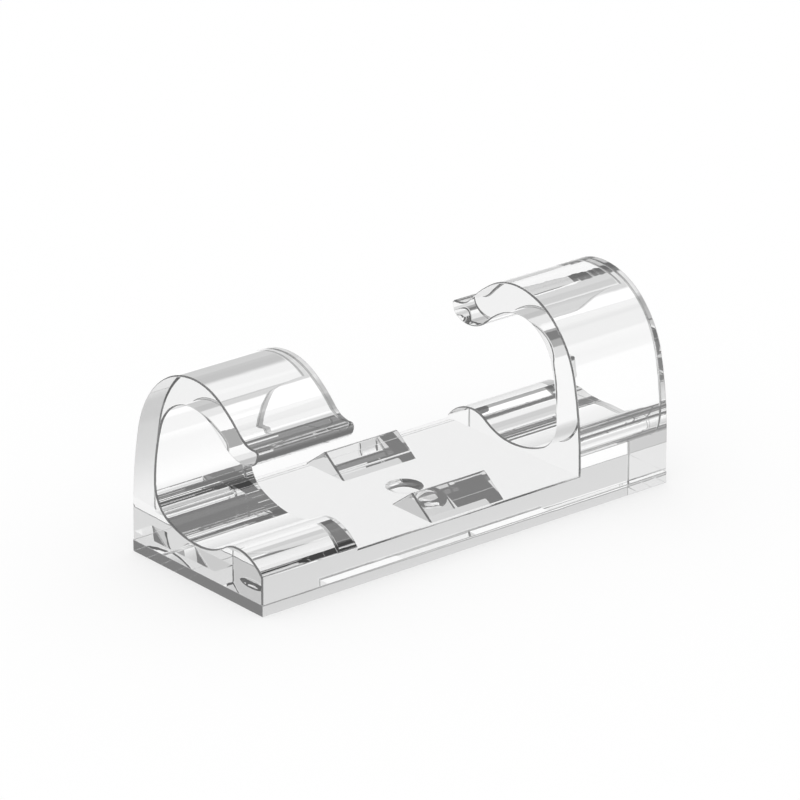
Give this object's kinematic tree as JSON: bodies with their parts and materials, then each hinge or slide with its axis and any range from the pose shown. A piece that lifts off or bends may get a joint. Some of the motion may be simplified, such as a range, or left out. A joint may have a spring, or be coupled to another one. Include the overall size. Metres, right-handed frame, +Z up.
{
  "type": "adhesive cable clip",
  "caption": "Clear moulded cable clip with open hooks facing opposite ways on a flat base, stuck down by a clear adhesive pad.",
  "frame": {"origin": "middle of the underside of the adhesive pad, on the surface the clip is stuck to", "axes": "+X along the base, the way the cables lie; +Y across it, towards the wall of the hook at the low X end; +Z up, away from the surface"},
  "size_m": [0.041, 0.016, 0.0167],
  "materials": {
    "clear_plastic": "clear, polished",
    "clear_adhesive": "clear, soft"
  },
  "bodies": {
    "root": {"clip_body": "clear_plastic", "adhesive_pad": "clear_adhesive"}
  },
  "joints": []
}
